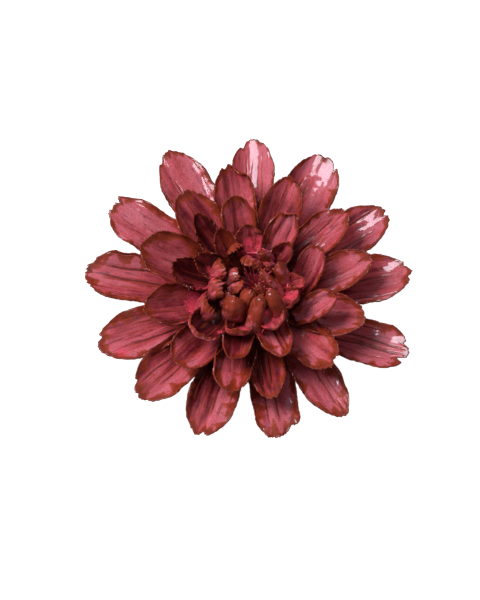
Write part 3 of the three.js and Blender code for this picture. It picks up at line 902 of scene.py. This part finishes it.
@dataclass
class Heart(Part):
    """The tuft of stamens in the middle of the flower, and the beads of glaze beside it."""

    name: str = "heart_tuft"
    stamens: int = 30
    heights: Pair = (15.5, 30.4)
    thick: float = 0.24
    bulb: float = 0.3
    spread: float = 1.4
    lean: float = 6.0
    grid: tuple[int, int] = (22, 10)
    beads: int = 6
    bead_sizes: Pair = (0.28, 0.42)
    bead_grid: tuple[int, int] = (8, 12)
    # The tuft's tone is set high: partly painted light that lifts the threads out of the hoods' shade
    lay: tuple[float, ...] = (0.0, 0.75, 0.0, 2.4)
    rng: Random = field(default_factory=lambda: np.random.default_rng(21))

    def stamen(self, index: int) -> Skin:
        """One thread: its path leans out with the square of its height, its radius swells to a bulb.

        Args:
            index: which of them.

        Returns:
            The closed thread.
        """
        share = np.sqrt(index / self.stamens)
        turn = 2 * np.pi * GOLDEN * index
        way = np.array((np.cos(turn), np.sin(turn), 0.0))
        aside = np.array((-np.sin(turn), np.cos(turn), 0.0))
        t = np.linspace(0.0, 1.0, self.grid[0])[:, None]
        tall = np.array((0.0, 0.0, (self.heights[1] - self.heights[0]) * self.rng.uniform(0.72, 1.0)))
        path = (*HEART_MIDDLE, self.heights[0]) + way * share * (self.spread + self.lean * t**2) + tall * t
        along = unit(way * 2 * self.lean * share * t + tall)
        radius = self.thick * (1.0 - 0.35 * t) + (self.bulb - 0.65 * self.thick) * hump(0.93, 0.06, t)
        radius = radius * np.sqrt(np.clip((1.001 - t) / 0.05, 0.05, 1.0))
        angle = circle(self.grid[1])[:, None]
        circles = np.cos(angle) * aside + np.sin(angle) * np.cross(along, aside)[:, None]
        rings = path[:, None] + radius[..., None] * circles
        return Skin.wrapped(rings, path[0], path[-1] + 0.05 * along[-1], self.lay)

    def bead(self, index: int) -> Skin:
        """A drop of glaze: a tall ellipsoid, rings of latitude closed by a pole at each end.

        Args:
            index: which of them, in a row with even steps from the tuft to the lower right.

        Returns:
            The closed drop.
        """
        along = 2.0 + 1.25 * index
        place = np.array((HEART_MIDDLE[0] + 0.8 * along, HEART_MIDDLE[1] - 0.6 * along, 27.4 + 0.1 * index))
        latitude = np.linspace(-np.pi / 2, np.pi / 2, self.bead_grid[0] + 2)[1:-1, None]
        angle = circle(self.bead_grid[1])
        high = np.sin(latitude) + 0.0 * angle
        wide = np.cos(latitude)
        rings = np.stack([wide * np.cos(angle), wide * np.sin(angle), 1.2 * high], -1)
        size = self.rng.uniform(*self.bead_sizes)
        pole = np.array((0.0, 0.0, 1.2 * size))
        return Skin.wrapped(place + size * rings, place - pole, place + pole, self.lay)

    def skins(self) -> list[Skin]:
        """The tuft and the row of beads.

        Returns:
            A closed skin for each thread and each drop.
        """
        stamens = [self.stamen(index) for index in range(self.stamens)]
        return stamens + [self.bead(index) for index in range(self.beads)]


@dataclass
class GlazeWebs(Part):
    """Ridges where the glaze gathered and bridged from petal to petal, draped over the finished bloom."""

    petals: list[Object]
    name: str = "glaze_webs"
    steps: int = 40
    sides: int = 12
    sunk: float = 0.15
    above: float = 50.0
    lay: tuple[float, ...] = (0.0, 0.8, 0.0, 0.6)
    seed: int = 31

    def draped(self, web: Web, trees: list[BVHTree]) -> Array:
        """A web's path in space: a smooth curve through its points in plan, as high as what lies below.

        The heights go through a moving median and a moving mean, so that the glaze bridges the narrow gaps.

        Args:
            web: the run of glaze.
            trees: the surfaces that it lies on.

        Returns:
            The path.
        """
        share, knots = np.linspace(0.0, 1.0, self.steps), np.linspace(0.0, 1.0, len(web.path))
        plan = np.stack([evened(np.interp(share, knots, part)) for part in np.array(web.path).T], -1)
        tops = []
        for east, north in plan * MM:
            start, down = Vector((east, north, self.above * MM)), Vector((0.0, 0.0, -1.0))
            falls = [tree.ray_cast(start, down)[0] for tree in trees]
            tops.append(max((fall.z / MM for fall in falls if fall), default=0.0))
        near = np.lib.stride_tricks.sliding_window_view(np.pad(tops, 2, "edge"), 5)
        return np.column_stack([plan, evened(np.median(near, axis=1)) - self.sunk])

    def tube(self, web: Web, path: Array, rng: Random) -> Skin:
        """A flattened ridge along a path: an ellipse swept along it, its width knotted by chance.

        Args:
            web: the run of glaze.
            path: where it lies.
            rng: seeded source of chance.

        Returns:
            The closed ridge.
        """
        along = unit(np.gradient(path, axis=0))
        aside = unit(np.cross(along, (0.0, 0.0, 1.0)))
        t = np.linspace(0.0, 1.0, len(path))
        wide = 0.6 * blend(web.wide, t) * (1.0 + 0.15 * Ripple(rng, 0.2, 0.8)(t))
        wide = wide * np.sqrt(np.clip(np.minimum(t, 1.0 - t) / 0.08, 0.02, 1.0))
        angle = circle(self.sides)[:, None]
        ellipse = np.cos(angle) * aside[:, None] + 0.4 * np.sin(angle) * np.cross(aside, along)[:, None]
        return Skin.wrapped(path[:, None] + wide[:, None, None] * ellipse, path[0], path[-1], self.lay)

    def skins(self) -> list[Skin]:
        """Every web, draped over the petals.

        Returns:
            A closed ridge for each.
        """
        rng, trees = np.random.default_rng(self.seed), []
        for mesh in (petal.data for petal in self.petals):
            corners, faces = [v.co for v in mesh.vertices], [f.vertices for f in mesh.polygons]
            trees.append(BVHTree.FromPolygons(corners, faces))
        return [self.tube(web, self.draped(web, trees), rng) for web in WEBS]


def linear(colour: Colour) -> tuple[float, ...]:
    """A display colour as the linear one that shaders take, with an opaque alpha."""
    return (*(c / 12.92 if c <= 0.04045 else ((c + 0.055) / 1.055) ** 2.4 for c in colour), 1.0)


class Wiring:
    """Short ways to add and join the nodes of one material."""

    def __init__(self, name: str) -> None:
        """Makes the material with an empty tree.

        Args:
            name: the material's name.
        """
        self.material = bpy.data.materials.new(name)
        self.material.use_nodes = True
        self.tree = self.material.node_tree
        self.tree.nodes.clear()
        self.place = self.node("TexCoord").outputs["Object"]

    def node(self, kind: str, inputs: dict[Any, Any] | None = None, **settings: Any) -> bpy.types.Node:
        """Adds a node.

        Args:
            kind: the node's type without its usual prefix.
            inputs: a value for each input, or a socket to link it to, by name or number.
            settings: properties of the node.

        Returns:
            The node.
        """
        made = self.tree.nodes.new("ShaderNode" + kind)
        for key, value in settings.items():
            setattr(made, key, value)
        for key, value in (inputs or {}).items():
            if isinstance(value, Socket):
                self.tree.links.new(value, made.inputs[key])
            else:
                made.inputs[key].default_value = value
        return made

    def finished(self, shader: bpy.types.Node) -> Material:
        """The material with its shader joined to its output."""
        self.node("OutputMaterial", {"Surface": shader.outputs[0]})
        return self.material

    def math(self, operation: str, a: Any, b: Any = 0.0) -> Socket:
        """One step of arithmetic on two numbers."""
        return self.node("Math", {0: a, 1: b}, operation=operation).outputs[0]

    def swayed(self, base: Any, pattern: Any, amount: float) -> Socket:
        """A base plus the pattern's distance from its middle, times an amount."""
        away = self.math("MULTIPLY", self.math("SUBTRACT", pattern, 0.5), amount)
        return self.math("ADD", base, away)

    def eased(self, value: Any, low: float, high: float, top: float = 1.0) -> Socket:
        """An eased step from 0 at low to top at high."""
        inputs = {"Value": value, "From Min": low, "From Max": high, "To Min": 0.0, "To Max": top}
        return self.node("MapRange", inputs, interpolation_type="SMOOTHSTEP").outputs[0]

    def mixed(self, amount: Any, a: Any, b: Any) -> Socket:
        """One colour going over into another."""
        return self.node("Mix", {0: amount, 6: a, 7: b}, data_type="RGBA").outputs[2]

    def noise(self, scale: float, detail: float = 3.0, rough: float = 0.55, place: Any = None) -> Socket:
        """Soft chance pattern from about 0.2 to 0.8, in space unless a place is given."""
        inputs = {"Vector": place or self.place, "Scale": scale, "Detail": detail, "Roughness": rough}
        return self.node("TexNoise", inputs).outputs[0]


@dataclass(frozen=True)
class Glaze:
    """Glossy breaking glaze: rosy where it is thick, rust where it thins, crimson where it pools."""

    name: str = "breaking_glaze"
    # The tone's ramp runs from deep through wine and rose to mauve: its deep end is mostly painted shade, its
    # mauve end painted light and sheen
    rose: Colour = (0.72, 0.29, 0.33)
    wine: Colour = (0.38, 0.09, 0.12)
    mauve: Colour = (0.76, 0.40, 0.46)
    deep: Colour = (0.21, 0.05, 0.07)
    rust: Colour = (0.58, 0.21, 0.12)
    burnt: Colour = (0.42, 0.14, 0.09)
    crimson: Colour = (0.86, 0.26, 0.35)
    slate: Colour = (0.19, 0.07, 0.09)
    coat: float = 1.0
    shine: float = 0.14
    rough: Pair = (0.2, 0.38)
    coat_rough: float = 0.085

    def colours(self, w: Wiring) -> tuple[Socket, Socket]:
        """The glaze's colour, laid on in coats from the body up, and the height of its fine relief.

        Args:
            w: the material being wired.

        Returns:
            The colour and the height.
        """
        lay = w.node("Attribute", attribute_name=LAY, attribute_type="GEOMETRY")
        thin, pool, groove = w.node("SeparateColor", {0: lay.outputs["Color"]}).outputs[:3]
        plan = w.node("UVMap", uv_map=PLAN).outputs[0]

        def streaks(across: float, along: float, detail: float, rough: float) -> Socket:
            """Chance pattern drawn out along the petal."""
            drawn = w.node("Mapping", {"Vector": plan, "Scale": (across, along, 1.0)})
            return w.noise(1.0, detail, rough, drawn.outputs[0])

        def over(body: Any, colour: Colour, value: Any, low: float, high: float, top: float = 1.0) -> Socket:
            """A colour over the body, as far as a value has come from low to high."""
            return w.mixed(w.eased(value, low, high, top), body, linear(colour))

        streak, hair = streaks(50.0, 5.0, 4.0, 0.6), streaks(330.0, 14.0, 3.0, 0.6)
        broad, mottle = w.noise(210.0), w.noise(900.0, 4.0, 0.65)
        vein = w.math("ABSOLUTE", w.math("SUBTRACT", streaks(34.0, 3.2, 2.0, 0.5), 0.5))
        vein = w.math("MULTIPLY", w.eased(vein, 0.022, 0.0), w.eased(broad, 0.42, 0.58))
        # The tone, swayed by streaks and broad patches, picks a colour from deep to mauve: painted shade at
        # its low end, painted light and sheen at its high end
        depth = w.swayed(w.swayed(lay.outputs["Alpha"], streak, 1.5), broad, 0.6)
        body = over(linear(self.deep), self.wine, depth, -0.2, 0.25)
        body = over(body, self.rose, depth, 0.1, 0.8)
        body = over(body, self.mauve, depth, 0.6, 1.2, 0.75)
        ragged = w.swayed(w.swayed(thin, w.noise(480.0, 3.0, 0.7), 1.4), streak, 0.4)
        # Painted shade: rust goes over to burnt where the tone is low
        rust = over(linear(self.burnt), self.rust, depth, 0.0, 0.5)
        body = w.mixed(w.eased(ragged, 0.4, 0.76, 0.95), body, rust)
        body = over(body, self.burnt, thin, 0.8, 1.0, 0.55)
        shoulder = w.math("MULTIPLY", groove, w.math("SUBTRACT", 1.0, groove))
        body = over(body, self.rust, shoulder, 0.1, 0.25, 0.6)
        # Slate along the creases' floors: partly the glaze's own colour there and partly painted shade
        body = over(body, self.slate, w.swayed(groove, mottle, 0.4), 0.45, 0.95, 0.85)
        body = over(body, self.slate, hair, 0.6, 0.78, 0.32)
        body = w.mixed(w.math("MULTIPLY", vein, 0.55), body, linear(self.slate))
        body = over(body, self.crimson, w.swayed(pool, mottle, 1.3), 0.25, 0.95, 0.85)
        body = over(body, self.mauve, w.noise(3600.0, 2.0), 0.62, 0.8, 0.12)
        grained = w.math("ADD", 0.8, w.eased(w.noise(1900.0, 2.0, 0.7), 0.3, 0.7, 0.4))
        body = w.node("HueSaturation", {"Color": body, "Value": grained}).outputs[0]
        height = 0.0
        for pattern, share in ((hair, -0.6), (streak, 0.7), (mottle, 0.5), (vein, -0.5)):
            height = w.math("ADD", height, w.math("MULTIPLY", pattern, share))
        return body, height

    def shader(self, w: Wiring) -> bpy.types.Node:
        """The glossy shader over the glaze's colour and its fine relief.

        Args:
            w: the material being wired.

        Returns:
            The shader's node.
        """
        colour, height = self.colours(w)
        bump = w.node("Bump", {"Strength": 0.28, "Distance": 0.0003, "Height": height})
        limits = {"To Min": self.rough[0], "To Max": self.rough[1]}
        inputs = {
            "Base Color": colour,
            "Roughness": w.node("MapRange", {"Value": w.noise(700.0), **limits}).outputs[0],
            "IOR": 1.5,
            "Specular IOR Level": self.shine,
            "Coat Weight": self.coat,
            "Coat Roughness": self.coat_rough,
            "Normal": bump.outputs[0],
        }
        return w.node("BsdfPrincipled", inputs)

    def material(self) -> Material:
        """The glaze as a material."""
        w = Wiring(self.name)
        return w.finished(self.shader(w))


@dataclass(frozen=True)
class FootedGlaze(Glaze):
    """The same glaze, wiped off the foot before firing up to a line whose sizes are in metres."""

    name: str = "glaze_over_bare_foot"
    coat: float = 0.0
    shine: float = 0.12
    rough: Pair = (0.45, 0.6)
    clay: Colour = (0.80, 0.68, 0.58)
    pale_clay: Colour = (0.856, 0.7276, 0.6206)
    line: float = 0.0022
    line_wander: float = 0.0032
    line_width: float = 0.0004

    def material(self) -> Material:
        """Glaze above a wandering line near the foot, and rough clay below it.

        Returns:
            The material.
        """
        w = Wiring(self.name)
        grit = w.noise(2400.0, 4.0, 0.7)
        bumps = w.node("Bump", {"Strength": 0.5, "Distance": 0.0003, "Height": grit})
        clay = w.mixed(w.eased(grit, 0.3, 0.7), linear(self.clay), linear(self.pale_clay))
        bare = w.node("BsdfPrincipled", {"Base Color": clay, "Roughness": 0.85, "Normal": bumps.outputs[0]})
        height = w.swayed(w.node("SeparateXYZ", {0: w.place}).outputs[2], w.noise(120.0), self.line_wander)
        edge = w.eased(height, self.line, self.line + self.line_width)
        return w.finished(w.node("MixShader", {0: edge, 1: bare.outputs[0], 2: self.shader(w).outputs[0]}))


@dataclass(frozen=True)
class PaleFloor:
    """Plain white studio paper."""

    shades: Pair = (0.3, 0.32)
    glow: float = 1.0

    def material(self) -> Material:
        """Matt white with a faint glow of its own, so that shadows on it stay light.

        Returns:
            The material.
        """
        w = Wiring("studio_paper")
        dark, light = ((shade,) * 3 + (1.0,) for shade in self.shades)
        inputs = {
            "Base Color": w.mixed(w.eased(w.noise(900.0, 2.0), 0.2, 0.8), dark, light),
            "Roughness": 0.9,
            "Emission Color": (1.0,) * 4,
            "Emission Strength": self.glow,
        }
        return w.finished(w.node("BsdfPrincipled", inputs))


@dataclass(frozen=True)
class SoftBox:
    """A square soft light that faces the flower, for its shades or for its glints."""

    name: str
    way: Colour
    side: float
    power: float
    far: float = 0.9
    tint: Colour = (1.0, 1.0, 1.0)
    glints: bool = True
    shades: bool = True

    def build(self) -> None:
        """Hangs the light at its distance along its way, turned to the origin."""
        lamp = bpy.data.lights.new(self.name, "AREA")
        lamp.shape, lamp.size, lamp.energy, lamp.color = "SQUARE", self.side, self.power, self.tint
        box = bpy.data.objects.new(self.name, lamp)
        way = Vector(self.way).normalized()
        box.location = way * self.far
        box.rotation_euler = way.to_track_quat("Z", "Y").to_euler()
        box.visible_glossy, box.visible_diffuse = self.glints, self.shades
        bpy.context.scene.collection.objects.link(box)


@dataclass
class Studio:
    """Floor, soft lights, and a camera that looks down at the photograph's angle."""

    floor_half: float = 1.5
    boxes: tuple[SoftBox, ...] = (
        SoftBox("key_box", (-0.58, 0.3, 0.75), 0.5, 10.9, glints=False),
        SoftBox("fill_box", (0.2, 0.1, 0.97), 0.9, 1.6, glints=False),
        SoftBox("window", (-0.23, 0.08, 0.97), 0.26, 2.7, tint=(0.9, 0.87, 1.0), shades=False),
        SoftBox("sheen", (-0.3, 0.1, 0.95), 1.6, 1.5, tint=(0.92, 0.88, 1.0), shades=False),
    )
    sky: float = 0.05
    lift: float = 72.0
    lens: float = 85.0
    sensor: float = 36.0
    picture: tuple[int, int] = (480, 600)
    origin_px: Pair = (252.0, 298.0)
    far: float = 0.558

    def floor(self) -> None:
        """A square of paper on which the foot stands."""
        mesh = bpy.data.meshes.new("floor")
        half = self.floor_half
        corners = [(-half, -half, 0.0), (half, -half, 0.0), (half, half, 0.0), (-half, half, 0.0)]
        mesh.from_pydata(corners, [], [(0, 1, 2, 3)])
        mesh.materials.append(PaleFloor().material())
        floor = bpy.data.objects.new("floor", mesh)
        floor.visible_glossy = False
        bpy.context.scene.collection.objects.link(floor)

    def lights(self) -> None:
        """The soft boxes, and a dim pale sky."""
        for box in self.boxes:
            box.build()
        world = bpy.data.worlds.new("pale_sky")
        world.use_nodes = True
        sky = world.node_tree.nodes["Background"]
        sky.inputs[0].default_value = (1.0, 1.0, 1.0, 1.0)
        sky.inputs[1].default_value = self.sky
        bpy.context.scene.world = world

    def camera(self) -> None:
        """A camera that sees the origin at the pixel where the photograph has it."""
        lift = np.radians(self.lift)
        right = Vector((1.0, 0.0, 0.0))
        up = Vector((0.0, np.sin(lift), np.cos(lift)))
        back = Vector((0.0, -np.cos(lift), np.sin(lift)))
        wide, tall = self.picture
        per_px = self.far / (self.lens / self.sensor * tall)
        aside, above = self.origin_px[0] - wide / 2, self.origin_px[1] - tall / 2
        target = -right * (aside * per_px) + up * (above * per_px)
        data = bpy.data.cameras.new("camera")
        data.lens, data.sensor_width, data.sensor_fit = self.lens, self.sensor, "AUTO"
        data.clip_start, data.clip_end = 0.01, 20.0
        camera = bpy.data.objects.new("camera", data)
        turn = Matrix((right, up, back)).transposed().to_4x4()
        camera.matrix_world = Matrix.Translation(target + back * self.far) @ turn
        bpy.context.scene.collection.objects.link(camera)
        bpy.context.scene.camera = camera

    def build(self) -> None:
        """Sets the whole studio up, and plain display colours."""
        self.camera()
        self.floor()
        self.lights()
        bpy.context.scene.view_settings.view_transform = "Standard"


def report(piece: Object) -> None:
    """Logs a piece's name and size.

    Args:
        piece: the finished piece.
    """
    faces = sum(len(polygon.vertices) - 2 for polygon in piece.data.polygons)
    corners = np.array([corner[:] for corner in piece.bound_box]) / MM
    low, high = corners.min(axis=0), corners.max(axis=0)
    log.info("%s: %d triangles, %s to %s mm", piece.name, faces, low.round(1), high.round(1))


def main() -> None:
    """Builds the studio, then the core, the rows of petals, the heart and the webs of glaze."""
    logging.basicConfig(level=logging.INFO, format="%(name)s: %(message)s", force=True)
    Studio().build()
    glaze = Glaze().material()
    report(Core().build(FootedGlaze().material()))
    rows = [row.build(glaze) for row in ROWS]
    for piece in rows:
        report(piece)
    report(Heart().build(glaze))
    report(GlazeWebs(rows).build(glaze))


if __name__ == "__main__":
    main()
